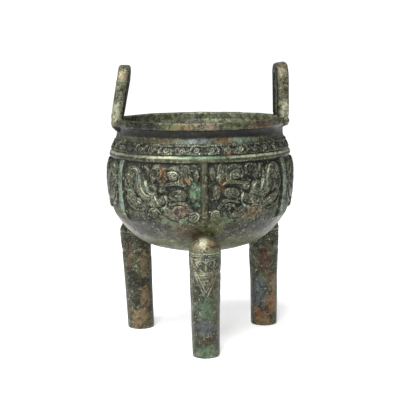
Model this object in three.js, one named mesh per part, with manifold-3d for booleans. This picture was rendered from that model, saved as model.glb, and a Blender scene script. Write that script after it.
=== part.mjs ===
// A bronze ding: a round food vessel on three column legs, with two upright loop handles, cast in one piece.
// Millimetres, +Z up. The origin is on the bowl's axis, level with the undersides of the feet.
// The front leg is at -Y and the handles are at +X and -X.
import * as THREE from "three";
import { mergeVertices } from "three/addons/utils/BufferGeometryUtils.js";
import Module from "manifold-3d";

// Bowl: the rise of its base from the axis, and the line of its side as [radius, height] up to the lip
const BASE_Z = 78.6;
const BASE_RISE = 1.088e-6; // times radius^4
const BASE_RADII = [34, 50, 60, 68.8];
const SIDE = [
  [75.2, 114.6], [77.5, 127.5], [78.2, 138.5], [77.5, 149.5], [75.6, 157.5],
  [74.3, 165.0], [72.0, 170.8], [70.5, 175.2], [70.3, 178.0], [70.7, 182.8],
];
const WALL = 3.5;
const RIM_Z = 189;
const LIP = { outer: 72.4, inner: 65.6, height: 6.2, edge: 0.8 };
const CORDON = { z: 160.3, halfHeight: 2.6, proud: 1.5 };
const BOWL_SIDES = 36;
const INSIDE_POINTS = [0, 2, 4, 5, 6, 8, 9, 11, 12]; // of the body line, those the inside follows

// Legs: the radius at each height, and how each stands: its top's distance from the axis and its own stoutness.
// One foot stands nearer the axis than its leg's top.
const LEG_SECTIONS = [[0, 11.2], [40, 11.7], [86, 13.3]];
const LEG_SIDES = 14;
const FOOT_CHAMFER = 0.9;
const LEGS = [
  { azimuth: -90, lean: 0, distance: 66.8, stout: 1 },
  { azimuth: 30, lean: 0, distance: 66.3, stout: 1.045 },
  { azimuth: 150, lean: 2.4, distance: 65.3, stout: 1.045 },
];

// Handles: an arch standing on the lip, flat towards the axis, bent inwards from the rim up by an angle.
// Its roots' undersides slant from the outer face, at rootZ, in to the neck at a height of their own.
const HANDLE = { outer: 74.4, thick: 10.2, width: 38.7, post: 9.4, top: 234.3, corner: 14, bevel: 1.2, rootZ: 182.2 };
const HANDLES = [
  { azimuth: 0, lean: 1.2, neckZ: 181.6 },
  { azimuth: 180, lean: 9.6, neckZ: 178.4 },
];
const HANDLE_INSIDE = { z: 188.6, taper: 0.33 }; // where the roots' inner faces begin to slant into the wall

// Relief: six flanges divide the belly. A mask lies about every second one, its nose, above a leg.
const FIELD_RADIUS = 77.4; // distances along the frieze are arcs of this radius
const NOSES = [-90, 30, 150];
const EDGES = [-33, 90, 213];
const FLANGE = { top: 158, bottom: 109, bends: [124, 138.5, 149.5], width: 5.8, proud: 3, bevel: 1.2 };
const RELIEF = { proud: 1.6, bevel: 0.5, root: 0.9 };

// Half of a mask, as [distance out from the leg's centreline, height].
// Bosses are ovals with half sizes. A bar runs through its points.
const BOSSES = [
  { name: "nose", at: [6.2, 148.4], half: [2.5, 4.8], sides: 6 },
  { name: "nostril", at: [9.0, 133.4], half: [3.3, 6.2], sides: 6 },
  { name: "eye", at: [21.0, 133.2], half: [7.2, 5.2], sides: 8 },
  { name: "forehead", at: [24.9, 149.0], half: [4.8, 4.6], sides: 6 },
  { name: "ear", at: [40.6, 150.6], half: [5.0, 5.4], sides: 6 },
  { name: "horn's crook", at: [64.6, 148.4], half: [5.6, 6.4], sides: 6 },
  { name: "horn's spiral", at: [43.8, 137.4], half: [5.2, 5.2], sides: 6 },
  { name: "chin", at: [43.2, 117.4], half: [4.0, 3.9], sides: 6 },
  { name: "jaw", at: [8.8, 115.4], half: [4.4, 4.4], sides: 6 },
];
const BARS = [
  { name: "eyebrow", width: 3.4, through: [[14.0, 140.2], [22.4, 142.8], [31.0, 141.2], [35.4, 137.4]] },
  { name: "crest", width: 3.6, through: [[18.3, 143.6], [18.4, 151.0], [23.4, 154.6], [29.6, 153.6]] },
  { name: "plume", width: 6.0, through: [[11.8, 142.8], [14.6, 153.6]] },
  { name: "horn", width: 7.6, through: [[60.6, 150.6], [56.4, 145.6], [55.2, 138.2], [51.6, 132.6], [45.4, 130.4]] },
  { name: "temple", width: 6.4, through: [[67.0, 131.6], [60.0, 127.2], [53.8, 125.4]] },
  { name: "cheek", width: 6.6, through: [[32.4, 128.6], [38.4, 126.2], [46.0, 126.4], [51.0, 122.0]] },
  { name: "jaw's plate", width: 6.4, through: [[33.0, 122.2], [23.4, 115.0]] },
  { name: "lip", width: 3.0, through: [[11.6, 121.8], [15.2, 125.4], [26.8, 125.8]] },
  { name: "fang", width: 2.4, through: [[16.6, 122.9], [22.6, 122.8], [25.4, 119.8]] },
];
const ASKEW = 0.65; // each mask's half that is right of its nose sits this much higher, and its left half lower
const BRONZE = { color: 0x4c5546, roughness: 0.55, metalness: 0.6 };

const wasm = await Module();
wasm.setup();

const radians = THREE.MathUtils.degToRad;

// A closed geometry as a solid
function solid(geometry) {
  const bare = geometry.index ? geometry.toNonIndexed() : geometry.clone();
  for (const name of Object.keys(bare.attributes)) {
    if (name !== "position") bare.deleteAttribute(name);
  }
  const merged = mergeVertices(bare, 1e-3);
  return new wasm.Manifold(
    new wasm.Mesh({
      numProp: 3,
      vertProperties: merged.attributes.position.array,
      triVerts: new Uint32Array(merged.index.array),
    }),
  );
}

function joined(solids) {
  return solids.reduce((whole, piece) => whole.add(piece));
}

// A profile of [radius, z] points turned about +Z. It runs from the axis, outwards and up, back to the axis.
function turned(profile, sides) {
  const points = profile.map(([r, z]) => new THREE.Vector2(r, z));
  return new THREE.LatheGeometry(points, sides).rotateX(Math.PI / 2);
}

// The bowl's outer line without its mouldings, from the axis to the underside of the lip
function bodyLine() {
  const base = BASE_RADII.map((r) => [r, BASE_Z + BASE_RISE * r ** 4]);
  return [[0, BASE_Z], ...base, ...SIDE];
}

// The body's radius at a height on its side
function bodyRadius(z) {
  const line = bodyLine().slice(BASE_RADII.length);
  const above = line.findIndex(([, height]) => height >= z);
  const i = Math.min(Math.max(above, 1), line.length - 1);
  const [r0, z0] = line[i - 1];
  const [r1, z1] = line[i];
  return r0 + ((r1 - r0) * (z - z0)) / (z1 - z0);
}

// The body line moved inwards by the wall's thickness, along its normal
function insideLine() {
  const line = bodyLine();
  return line.map(([r, z], i) => {
    if (i === 0) return [r, z + WALL];
    const [r0, z0] = line[i - 1];
    const [r1, z1] = line[Math.min(i + 1, line.length - 1)];
    const length = Math.hypot(r1 - r0, z1 - z0);
    return [r - (WALL * (z1 - z0)) / length, z + (WALL * (r1 - r0)) / length];
  });
}

function bowlOutside() {
  const bottom = CORDON.z - CORDON.halfHeight;
  const top = CORDON.z + CORDON.halfHeight;
  const cordon = [
    [bodyRadius(bottom), bottom],
    [bodyRadius(CORDON.z) + CORDON.proud, CORDON.z - CORDON.halfHeight / 2],
    [bodyRadius(CORDON.z) + CORDON.proud, CORDON.z + CORDON.halfHeight / 2],
    [bodyRadius(top), top],
  ];
  const below = bodyLine().filter(([, z]) => z < bottom);
  const above = bodyLine().filter(([, z]) => z > top);
  const lip = [
    [LIP.outer - LIP.edge, RIM_Z - LIP.height],
    [LIP.outer, RIM_Z - LIP.height + LIP.edge],
    [LIP.outer, RIM_Z - LIP.edge],
    [LIP.outer - LIP.edge, RIM_Z],
    [0, RIM_Z],
  ];
  return solid(turned([...below, ...cordon, ...above, ...lip], BOWL_SIDES));
}

function bowlInside() {
  const line = insideLine();
  const mouth = [
    [LIP.inner, RIM_Z - LIP.edge],
    [LIP.inner + LIP.edge, RIM_Z],
    [LIP.inner + LIP.edge, RIM_Z + LIP.height],
    [0, RIM_Z + LIP.height],
  ];
  return solid(turned([...INSIDE_POINTS.map((i) => line[i]), ...mouth], BOWL_SIDES));
}

// A column with a round top. It begins below the ground, so that a leaning leg can be cut level.
function leg({ azimuth, lean, distance, stout }) {
  const [[, footRadius], ...sections] = LEG_SECTIONS;
  const [top, topRadius] = sections.at(-1);
  const foot = [
    [0, -2],
    [footRadius - FOOT_CHAMFER, -2],
    [footRadius - FOOT_CHAMFER, 0],
    [footRadius, FOOT_CHAMFER],
  ];
  const column = sections.map(([z, r]) => [r, z]);
  const cap = [30, 60].map((deg) => {
    const angle = radians(deg);
    return [topRadius * Math.cos(angle), top + topRadius * Math.sin(angle)];
  });
  const shape = turned([...foot, ...column, ...cap, [0, top + topRadius]], LEG_SIDES);
  shape.scale(stout, stout, 1);
  shape.translate(0, 0, -top);
  shape.rotateY(radians(lean));
  shape.translate(distance, 0, top);
  shape.rotateZ(radians(azimuth));
  return solid(shape);
}

// A solid cut by a slanting plane all along an azimuth, through two points [radius, height]. What is above stays.
function cutAlong(shape, azimuth, [r0, z0], [r1, z1]) {
  const [outwards, up] = [z0 - z1, r1 - r0];
  const normal = [outwards * Math.cos(radians(azimuth)), outwards * Math.sin(radians(azimuth)), up];
  return shape.trimByPlane(normal, (outwards * r0 + up * z0) / Math.hypot(outwards, up));
}

// An arch with two posts, drawn along the rim and extruded across it, then bent inwards from the rim up
function handle({ azimuth, lean, neckZ }) {
  const { outer, width, post, corner, thick, bevel, rootZ } = HANDLE;
  const foot = neckZ - RIM_Z;
  const half = width / 2 - bevel;
  const high = HANDLE.top - RIM_Z - bevel;
  const inset = post - 2 * bevel;
  const innerHalf = half - inset;
  const innerHigh = high - inset;
  const innerCorner = corner - inset;
  const arch = new THREE.Shape();
  arch.moveTo(half, foot);
  arch.lineTo(half, 0);
  arch.lineTo(half, high - corner);
  arch.absarc(half - corner, high - corner, corner, 0, Math.PI / 2);
  arch.absarc(corner - half, high - corner, corner, Math.PI / 2, Math.PI);
  arch.lineTo(-half, 0);
  arch.lineTo(-half, foot);
  arch.lineTo(-innerHalf, foot);
  arch.lineTo(-innerHalf, 0);
  arch.absarc(innerCorner - innerHalf, innerHigh - innerCorner, innerCorner, Math.PI, Math.PI / 2, true);
  arch.absarc(innerHalf - innerCorner, innerHigh - innerCorner, innerCorner, Math.PI / 2, 0, true);
  arch.lineTo(innerHalf, 0);
  arch.lineTo(innerHalf, foot);
  const shape = new THREE.ExtrudeGeometry(arch, {
    depth: thick - 2 * bevel,
    curveSegments: 3,
    bevelSize: bevel,
    bevelThickness: bevel,
    bevelSegments: 1,
  });
  // drawn along the rim and up, extruded outwards
  shape.applyMatrix4(new THREE.Matrix4().set(0, 0, 1, bevel - thick, 1, 0, 0, 0, 0, 1, 0, 0, 0, 0, 0, 1));
  const place = shape.attributes.position;
  for (let i = 0; i < place.count; i++) {
    const above = Math.max(place.getZ(i), 0);
    place.setX(i, place.getX(i) - above * Math.sin(radians(lean)));
    place.setZ(i, place.getZ(i) - above * (1 - Math.cos(radians(lean))));
  }
  shape.translate(outer, 0, RIM_Z);
  shape.rotateZ(radians(azimuth));
  const inner = outer - thick;
  const drop = HANDLE_INSIDE.z - neckZ + bevel;
  const below = [inner + drop * HANDLE_INSIDE.taper, HANDLE_INSIDE.z - drop];
  const rooted = cutAlong(solid(shape), azimuth, [bodyRadius(neckZ), neckZ], [outer, rootZ]);
  return cutAlong(rooted, azimuth, [inner, HANDLE_INSIDE.z], below);
}

// The rings of points a raised form is made of, as a closed solid. All rings have as many points.
function ringSolid(rings, closed) {
  const size = rings[0].length;
  const points = rings.flat();
  const faces = [];
  const bands = closed ? rings.length : rings.length - 1;
  for (let i = 0; i < bands; i++) {
    for (let k = 0; k < size; k++) {
      const next = (i + 1) % rings.length;
      const [a, b] = [i * size + k, i * size + ((k + 1) % size)];
      const [c, d] = [next * size + k, next * size + ((k + 1) % size)];
      faces.push(a, b, c, b, d, c);
    }
  }
  const last = (rings.length - 1) * size;
  for (let k = 1; k < size - 1; k++) {
    faces.push(0, k + 1, k);
    faces.push(last, last + k, last + k + 1);
  }
  const shape = new THREE.BufferGeometry();
  shape.setAttribute("position", new THREE.Float32BufferAttribute(points.flat(), 3));
  shape.setIndex(faces);
  return solid(shape);
}

// A point of the frieze at a distance along it from an azimuth, a height, and a lift off the body
function onBody({ azimuth, side, stretch, raised }, [along, z], lift) {
  const angle = radians(azimuth) + (side * stretch * along) / FIELD_RADIUS;
  const radius = bodyRadius(z + raised) + lift;
  return [radius * Math.cos(angle), radius * Math.sin(angle), z + raised];
}

// A bar of bevelled section along points of the frieze
function bar({ through, width }, place) {
  const { proud, bevel, root } = RELIEF;
  const rings = through.map((point, i) => {
    const [u0, z0] = through[Math.max(i - 1, 0)];
    const [u1, z1] = through[Math.min(i + 1, through.length - 1)];
    const length = Math.hypot(u1 - u0, z1 - z0);
    const normal = [-(z1 - z0) / length, (u1 - u0) / length];
    const section = [[0.5, -root], [0.5 - bevel / width, proud]];
    const whole = [...section, ...section.toReversed().map(([across, lift]) => [-across, lift])];
    return whole.map(([across, lift]) => {
      const moved = [point[0] + normal[0] * across * width, point[1] + normal[1] * across * width];
      return onBody(place, moved, lift);
    });
  });
  return ringSolid(place.side > 0 ? rings : rings.toReversed());
}

// An oval boss, in plan a polygon about its centre
function boss({ at, half, sides }, place) {
  const { proud, bevel, root } = RELIEF;
  const levels = [[1, -root], [1 - bevel / Math.min(...half), proud]];
  const rings = levels.map(([scale, lift]) =>
    Array.from({ length: sides }, (_, i) => {
      const angle = (2 * Math.PI * (i + 0.5)) / sides;
      const point = [at[0] + half[0] * scale * Math.cos(angle), at[1] + half[1] * scale * Math.sin(angle)];
      return onBody(place, point, lift);
    }),
  );
  return ringSolid(place.side > 0 ? rings : rings.toReversed());
}

// A flange down the belly, following its curve, with sloping edges and ends
function flange(azimuth) {
  const { top, bottom, width, proud, bevel } = FLANGE;
  const heights = [bottom, bottom + bevel, ...FLANGE.bends, top - bevel, top];
  const rings = heights.map((z) => {
    const lifted = z > bottom && z < top ? proud : proud - 2 * bevel;
    const section = [[width / 2, -RELIEF.root], [width / 2 - bevel, lifted]];
    const whole = [...section, ...section.toReversed().map(([across, lift]) => [-across, lift])];
    return whole.map(([across, lift]) => onBody({ azimuth, side: 1, stretch: 1, raised: 0 }, [-across, z], lift));
  });
  return ringSolid(rings);
}

// Both halves of every mask, each stretched to the field between its nose and the flange beside it
function masks() {
  const drawn = EDGES[0] - NOSES[0];
  return NOSES.flatMap((azimuth, i) => {
    const before = azimuth + 360 - EDGES.at(i - 1);
    const after = EDGES[i] - azimuth;
    return [[-1, before % 360], [1, after]].flatMap(([side, width]) => {
      const place = { azimuth, side, stretch: width / drawn, raised: side * ASKEW };
      const bosses = BOSSES.map((each) => boss(each, place));
      return [...bosses, ...BARS.map((each) => bar(each, place))];
    });
  });
}

const flanges = [...NOSES, ...EDGES].map(flange);
const walls = joined([bowlOutside(), ...LEGS.map(leg), ...flanges, ...masks()]);
const hollow = walls.trimByPlane([0, 0, 1], 0).subtract(bowlInside());
const cast = joined([hollow, ...HANDLES.map(handle)]);

const { vertProperties, triVerts } = cast.getMesh();
const form = new THREE.BufferGeometry();
form.setAttribute("position", new THREE.Float32BufferAttribute(vertProperties, 3));
form.setIndex([...triVerts]);
const vessel = new THREE.Mesh(form, new THREE.MeshStandardMaterial(BRONZE));
vessel.name = "vessel";
const group = new THREE.Group();
group.add(vessel);
export default group;
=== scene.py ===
"""The looks of a cast bronze ding: a round vessel on three column legs, with two upright loop handles.

The whole casting is one mesh. The bowl is a surface of revolution whose wall is lifted by the relief: beast
masks between the flanges and dragons on the neck. Legs and handles are joined to it, and a node material
paints the patina, with painted light and shade on the neck, the cordon, the lip, the relief and the handles.
Millimetres until the mesh is written, with the row frame's origin and axes.
"""
import math

import bpy
import numpy as np
from mathutils import Matrix, Vector


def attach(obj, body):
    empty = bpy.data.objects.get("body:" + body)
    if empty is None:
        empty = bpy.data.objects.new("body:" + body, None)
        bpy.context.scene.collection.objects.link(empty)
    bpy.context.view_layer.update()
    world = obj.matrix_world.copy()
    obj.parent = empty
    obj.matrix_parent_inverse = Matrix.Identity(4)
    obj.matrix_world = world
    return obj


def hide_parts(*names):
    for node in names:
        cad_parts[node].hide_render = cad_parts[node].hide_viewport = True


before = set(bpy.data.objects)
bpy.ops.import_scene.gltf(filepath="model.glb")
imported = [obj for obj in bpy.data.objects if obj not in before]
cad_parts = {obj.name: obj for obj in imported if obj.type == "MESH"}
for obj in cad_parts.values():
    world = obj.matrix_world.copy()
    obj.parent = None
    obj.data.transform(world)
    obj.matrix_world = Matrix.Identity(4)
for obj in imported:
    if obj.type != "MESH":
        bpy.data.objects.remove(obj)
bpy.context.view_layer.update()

MM = 0.001
TAU = 2 * math.pi

# ---------------------------------------------------------------- sizes, as the CAD has them
BASE_Z = 78.6
BASE_RISE = 1.088e-6
BASE_RADII = (17, 34, 43, 50, 55, 60, 64.6, 68.8)
SIDE = (
    (72.8, 109.0), (75.2, 114.6), (76.4, 120.0), (77.5, 127.5), (78.2, 138.5), (77.5, 149.5), (75.6, 157.5),
    (74.3, 165.0), (72.0, 170.8), (70.5, 175.2), (70.3, 178.0), (70.7, 182.8),
)
WALL = 3.5
RIM_Z = 189.0
LIP_OUTER = 72.4
LIP_INNER = 65.6
LIP_HEIGHT = 6.2
LIP_EDGE = 1.3
CORDON_Z = 160.3
CORDON_HALF = 2.6
CORDON_PROUD = 1.5

FIELD_RADIUS = 77.4  # distances along the frieze are arcs of this radius
FLANGES = (-147, -90, -33, 30, 90, 150)  # azimuths. The masks' noses are the second, fourth and sixth.
HALF_FIELD = FIELD_RADIUS * math.radians(FLANGES[1] - FLANGES[0])  # half of the front mask's field
FLANGE_TOP = 158.0
FLANGE_BOTTOM = 109.0
FLANGE_WIDTH = 5.8
FLANGE_PROUD = 3.0
RELIEF = 1.6
BAND_RELIEF = 1.0
MASK_ASKEW = 0.65

LEG_LINE = ((0, 11.2), (14, 11.25), (40, 11.7), (62, 12.35), (86, 13.3))
LEG_TOP = 86.0
LEG_TOP_RADIUS = 13.3
LEGS = (  # azimuth, lean, place, stoutness
    (-90, 0.0, 66.8, 1.0),
    (30, 0.0, 66.3, 1.045),
    (150, 2.4, 65.3, 1.045),
)

HANDLE_OUTER = 74.4
HANDLE_THICK = 10.2
HANDLE_WIDTH = 38.7
HANDLE_POST = 9.4
HANDLE_TOP = 234.3
HANDLE_CORNER = 14.0
HANDLES = ((0, 1.2, 181.6), (180, 9.6, 178.4))  # azimuth, lean, and the height where its root meets the neck
HANDLE_ROOT = 182.2  # the roots' height at their outer faces


# ---------------------------------------------------------------- small helpers
def smoothstep(low, high, value):
    t = np.clip((value - low) / (high - low), 0, 1)
    return t * t * (3 - 2 * t)


def waves(points, wavelength, seed, count=12):
    """A smooth random field of about unit height on (n, 3) points."""
    rng = np.random.default_rng(seed)
    directions = rng.normal(size=(count, 3))
    directions /= np.linalg.norm(directions, axis=1, keepdims=True)
    pace = TAU / wavelength * rng.uniform(0.6, 1.5, count)
    phase = rng.uniform(0, TAU, count)
    return np.sin(points @ (directions * pace[:, None]).T + phase).sum(axis=1) * math.sqrt(2 / count)


def catmull_rom(points, steps):
    """A smooth curve through (n, k) points."""
    points = np.asarray(points, float)
    if len(points) < 3:
        return points
    padded = np.vstack([2 * points[0] - points[1], points, 2 * points[-1] - points[-2]])
    share = np.linspace(0, 1, steps, endpoint=False)[:, None]
    spans = []
    for a, b, c, d in zip(padded, padded[1:], padded[2:], padded[3:]):
        square = 2 * a - 5 * b + 4 * c - d
        cube = 3 * b - a - 3 * c + d
        spans.append(0.5 * (2 * b + (c - a) * share + square * share**2 + cube * share**3))
    return np.vstack([*spans, points[-1:]])


# ---------------------------------------------------------------- reliefs, drawn as height fields
FIELD_STEP = 0.25


class Field:
    """Heights over distances along a surface and heights on it, with raised strokes and lines cut in them.

    Pale earth has stayed in what is cut: that share of the colour is kept in a second grid.
    """

    def __init__(self, along, up):
        self.low = np.array([along[0], up[0]], float)
        count = [round((along[1] - along[0]) / FIELD_STEP) + 1, round((up[1] - up[0]) / FIELD_STEP) + 1]
        self.height = np.zeros(count)
        self.earth = np.zeros(count)

    def _edge(self, line, widths):
        """(depth inside the stroke's edge, signed distance from its centre, width) near a line."""
        line = np.asarray(line, float)
        inside = np.full(self.height.shape, -9.0)
        across = np.zeros(self.height.shape)
        broad = np.ones(self.height.shape)
        for a, b, wide_a, wide_b in zip(line, line[1:], widths, widths[1:]):
            pad = max(wide_a, wide_b) / 2 + 1
            first = np.maximum(np.floor((np.minimum(a, b) - pad - self.low) / FIELD_STEP).astype(int), 0)
            last = np.ceil((np.maximum(a, b) + pad - self.low) / FIELD_STEP).astype(int) + 1
            part = (slice(first[0], max(last[0], 0)), slice(first[1], max(last[1], 0)))
            if inside[part].size == 0:
                continue
            tall, wide = inside[part].shape
            rows = self.low[0] + FIELD_STEP * np.arange(first[0], first[0] + tall)[:, None]
            columns = self.low[1] + FIELD_STEP * np.arange(first[1], first[1] + wide)[None, :]
            run = b - a
            t = np.clip(((rows - a[0]) * run[0] + (columns - a[1]) * run[1]) / max(run @ run, 1e-9), 0, 1)
            off = (rows - a[0] - t * run[0], columns - a[1] - t * run[1])
            distance = np.hypot(*off)
            wide = wide_a + (wide_b - wide_a) * t
            better = wide / 2 - distance > inside[part]
            side = np.sign(run[0] * off[1] - run[1] * off[0])
            inside[part] = np.where(better, wide / 2 - distance, inside[part])
            across[part] = np.where(better, side * distance, across[part])
            broad[part] = np.where(better, wide, broad[part])
        return inside, across, broad

    def raise_line(self, line, widths, proud=1.0, grooves=(), slope=0.45):
        """A raised band along a line, with grooves at shares of its half width."""
        inside, across, broad = self._edge(line, widths)
        lift = proud * smoothstep(-slope, slope, inside)
        for share in grooves:
            off = across - share * broad / 2
            lift -= 0.32 * np.exp(-((off / 0.42) ** 2)) * smoothstep(0.2, 0.9, inside)
        self.height = np.maximum(self.height, lift)

    def raise_oval(self, at, half, proud=1.0, dome=0.0):
        """An oval boss, domed by a share of its height."""
        rows = self.low[0] + FIELD_STEP * np.arange(self.height.shape[0])[:, None]
        columns = self.low[1] + FIELD_STEP * np.arange(self.height.shape[1])[None, :]
        reach = np.hypot((rows - at[0]) / half[0], (columns - at[1]) / half[1])
        lift = proud * smoothstep(-0.45, 0.45, (1 - reach) * min(half)) + dome * np.clip(1 - reach**2, 0, 1)
        self.height = np.maximum(self.height, lift)

    def cut(self, line, width=0.8, depth=0.35, earth=1.0):
        """A line cut into what is there, along a smooth curve through points."""
        line = catmull_rom(line, 5) if len(line) < 9 else line
        inside, _, _ = self._edge(line, [width] * len(line))
        share = smoothstep(-0.35, 0.3, inside)
        self.height -= depth * share
        self.earth = np.maximum(self.earth, earth * share)

    def sample(self, grid, along, up):
        """A grid's values at points, by bilinear interpolation. Outside the field they are nil."""
        x = (along - self.low[0]) / FIELD_STEP
        y = (up - self.low[1]) / FIELD_STEP
        outside = (x < 0) | (y < 0) | (x > grid.shape[0] - 1) | (y > grid.shape[1] - 1)
        x = np.clip(x, 0, grid.shape[0] - 1.001)
        y = np.clip(y, 0, grid.shape[1] - 1.001)
        i, j = x.astype(int), y.astype(int)
        fx, fy = x - i, y - j
        lower = grid[i, j] * (1 - fx) + grid[i + 1, j] * fx
        upper = grid[i, j + 1] * (1 - fx) + grid[i + 1, j + 1] * fx
        return np.where(outside, 0, lower * (1 - fy) + upper * fy)


def curl(start, at, turn, inner=0.9):
    """Points winding in from a start round a centre, by a turn in degrees. Positive is anticlockwise."""
    start, at = np.asarray(start, float), np.asarray(at, float)
    radius = np.hypot(*(start - at))
    angle = math.atan2(*(start - at)[::-1])
    share = np.linspace(0, 1, max(int(abs(turn) / 15), 2))[1:, None]
    radii = radius + (min(inner, radius) - radius) * share
    angles = angle + math.radians(turn) * share
    return at + radii * np.hstack([np.cos(angles), np.sin(angles)])


def ribbon(through, widths, head=None, tail=None):
    """(line, widths) of a band through points.

    head and tail wind up its ends. They are (centre, turn, inner radius, width at the tip).
    """
    line = catmull_rom(through, 6)
    share = np.linspace(0, len(widths) - 1, len(line))
    wide = np.interp(share, range(len(widths)), widths)
    if head:
        at, turn, inner, tip = head
        wound = curl(line[0], at, turn, inner)[::-1]
        line = np.vstack([wound, line])
        wide = np.concatenate([np.linspace(tip, wide[0], len(wound)), wide])
    if tail:
        at, turn, inner, tip = tail
        wound = curl(line[-1], at, turn, inner)
        line = np.vstack([line, wound])
        wide = np.concatenate([wide, np.linspace(wide[-1], tip, len(wound))])
    return line, wide


def ring(at, radius, turn=350, start=90):
    """Points round a centre."""
    angles = np.radians(start + np.linspace(0, turn, max(int(abs(turn) / 20), 3)))
    return np.stack([at[0] + radius * np.cos(angles), at[1] + radius * np.sin(angles)], 1)


def mask_field():
    """Half of a beast mask: distances out from the leg's centreline, and heights.

    Broad plates are raised first, then the channels between their scrolls are cut.
    """
    field = Field((-1, HALF_FIELD + 1), (106, 160))
    plate, oval, cut = field.raise_line, field.raise_oval, field.cut
    # horn: a crook outside, a long stem and a spiral inside
    oval((64.6, 148.4), (5.6, 6.6))
    stem = [
        (61.5, 151.4), (57.8, 149.4), (56.2, 144.0), (55.6, 139.0),
        (53.6, 134.4), (50.2, 131.2), (45.4, 130.2),
    ]
    plate(*ribbon(stem, [6.0, 7.4, 8.4, 8.2, 7.8, 6.6, 4.4]))
    plate(*ribbon([(51.6, 148.6), (50.8, 143.0), (49.6, 138.0), (46.2, 134.6)], [2.6, 4.2, 4.4, 3.4]))
    oval((43.8, 137.4), (5.2, 5.2))
    crook = [
        (66.8, 147.6), (65.6, 151.2), (62.6, 153.2), (59.4, 153.0),
        (56.8, 150.8), (55.4, 147.4), (55.0, 144.0),
    ]
    cut(crook, 1.3, 0.9)
    cut([(60.6, 149.4), (60.9, 146.4), (62.2, 143.8), (64.8, 142.4), (67.8, 143.2)], 1.2, 0.9)
    cut([(60.6, 149.4), (62.4, 151.0), (64.8, 149.8), (66.4, 147.4)], 0.9, 0.6, 0.5)
    inner_edge = [
        (54.6, 149.6), (53.6, 144.6), (53.3, 140.0), (52.2, 136.2),
        (49.6, 133.2), (46.2, 131.8), (43.0, 131.8), (40.4, 133.6),
    ]
    cut(inner_edge, 1.3, 0.9)
    middle = [
        (58.0, 147.6), (56.8, 143.0), (56.0, 138.0), (54.0, 133.6),
        (50.8, 130.4), (47.6, 129.4), (45.0, 130.0),
    ]
    cut(middle, 0.8, 0.7, 0.8)
    cut([(59.6, 146.0), (59.0, 141.4), (58.0, 136.8), (56.2, 132.4), (53.2, 129.4)], 0.7, 0.6, 0.6)
    cut(ring((43.8, 137.4), 3.6, 330, 120), 1.4, 0.8)
    cut(ring((43.8, 137.4), 1.2, 300, 20), 0.7, 0.5, 0.5)
    cut([(49.4, 143.6), (48.6, 140.6), (47.6, 138.2)], 2.0, 0.9)
    # a knot beside the horn, and its barb
    oval((67.0, 139.8), (2.6, 2.5))
    cut(ring((67.0, 139.8), 1.2), 0.8, 0.7, 0.3)
    plate(*ribbon([(70.2, 144.6), (70.6, 140.4), (70.0, 136.4), (66.0, 133.8)], [1.4, 1.8, 2.2, 3.0]))
    plate(*ribbon([(61.8, 141.6), (62.6, 137.6), (60.6, 135.0)], [1.6, 3.0, 2.4]))
    cut([(67.6, 136.2), (64.6, 135.6), (62.2, 133.4), (60.4, 132.8)], 1.3, 0.9)
    # temple: a broad hook below the horn, with a long barb under it
    plate(*ribbon([(67.0, 131.8), (62.6, 128.6), (58.0, 126.2), (53.6, 125.6)], [5.0, 7.0, 6.6, 3.4]))
    plate(*ribbon([(70.4, 130.4), (68.0, 124.8), (63.6, 121.2), (57.8, 119.6)], [1.6, 2.4, 2.4, 1.6]))
    cut([(69.2, 131.4), (67.0, 126.8), (63.6, 123.8), (59.2, 122.2), (55.4, 122.6)], 1.5, 0.9)
    cut([(57.6, 127.4), (55.4, 126.0)], 1.6, 0.7)
    cut([(54.0, 123.4), (51.2, 124.4)], 1.2, 0.9)
    # ear: a leaf standing on its point
    plate(*ribbon([(42.0, 142.6), (41.6, 146.2), (40.6, 150.2), (40.2, 153.0)], [1.8, 5.0, 9.0, 8.0]))
    cut(curl((43.8, 151.6), (40.8, 150.6), -520, 0.8), 0.7, 0.5, 0.6)
    cut([(42.4, 147.6), (41.8, 144.8)], 0.8, 0.5, 0.7)
    plate(*ribbon([(51.8, 155.4), (48.6, 153.6), (46.6, 149.6), (46.2, 145.6)], [1.2, 2.0, 2.0, 1.2]))
    # forehead: an arch and a disc with a spiral
    arch = [(18.3, 143.4), (17.9, 149.0), (20.4, 153.2), (25.0, 154.8), (30.0, 153.4)]
    plate(*ribbon(arch, [3.4, 3.8, 3.8, 3.4, 2.4]))
    oval((24.9, 149.2), (4.8, 4.6))
    plate(*ribbon([(30.6, 151.4), (31.4, 148.4), (30.0, 145.8)], [2.0, 2.6, 1.6]))
    cut([(21.0, 144.2), (20.6, 148.4), (22.2, 151.6), (25.6, 152.6), (29.0, 151.0)], 1.0, 0.8)
    cut(curl((27.4, 149.2), (24.6, 149.3), 480, 0.9), 0.9, 0.6, 0.8)
    # waves of hair between the ear and the forehead
    plate(*ribbon([(37.0, 155.2), (34.6, 152.0), (35.0, 148.6), (37.8, 145.6)], [1.2, 2.2, 2.4, 1.6]))
    # plumes leaning to the nose
    plate(*ribbon([(11.6, 142.0), (13.0, 147.6), (14.6, 153.6)], [2.0, 6.4, 7.6]))
    feathers = (
        [(16.2, 150.2), (17.8, 156.0)], [(13.8, 148.2), (15.4, 155.6)], [(11.6, 147.2), (12.8, 154.6)],
    )
    for feather in feathers:
        cut(feather, 0.8, 0.8, 0.8)
    cut([(11.6, 149.2), (9.6, 145.8)], 1.5, 0.9)
    # nose
    oval((6.2, 148.4), (2.5, 4.8))
    oval((9.0, 133.4), (3.3, 6.2), dome=0.35)
    # eyebrow with a ring at its end, and eye
    plate(*ribbon([(13.8, 140.0), (18.2, 142.0), (24.4, 142.6), (30.6, 141.4)], [1.6, 3.2, 3.4, 3.0]))
    oval((34.0, 138.4), (3.5, 3.4))
    cut(ring((34.0, 138.4), 1.9, 300, 60), 0.9, 0.7, 0.8)
    oval((21.0, 133.2), (7.0, 5.0), dome=0.7)
    cut([(19.4, 133.2), (22.8, 133.2)], 1.0, 0.5)
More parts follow.
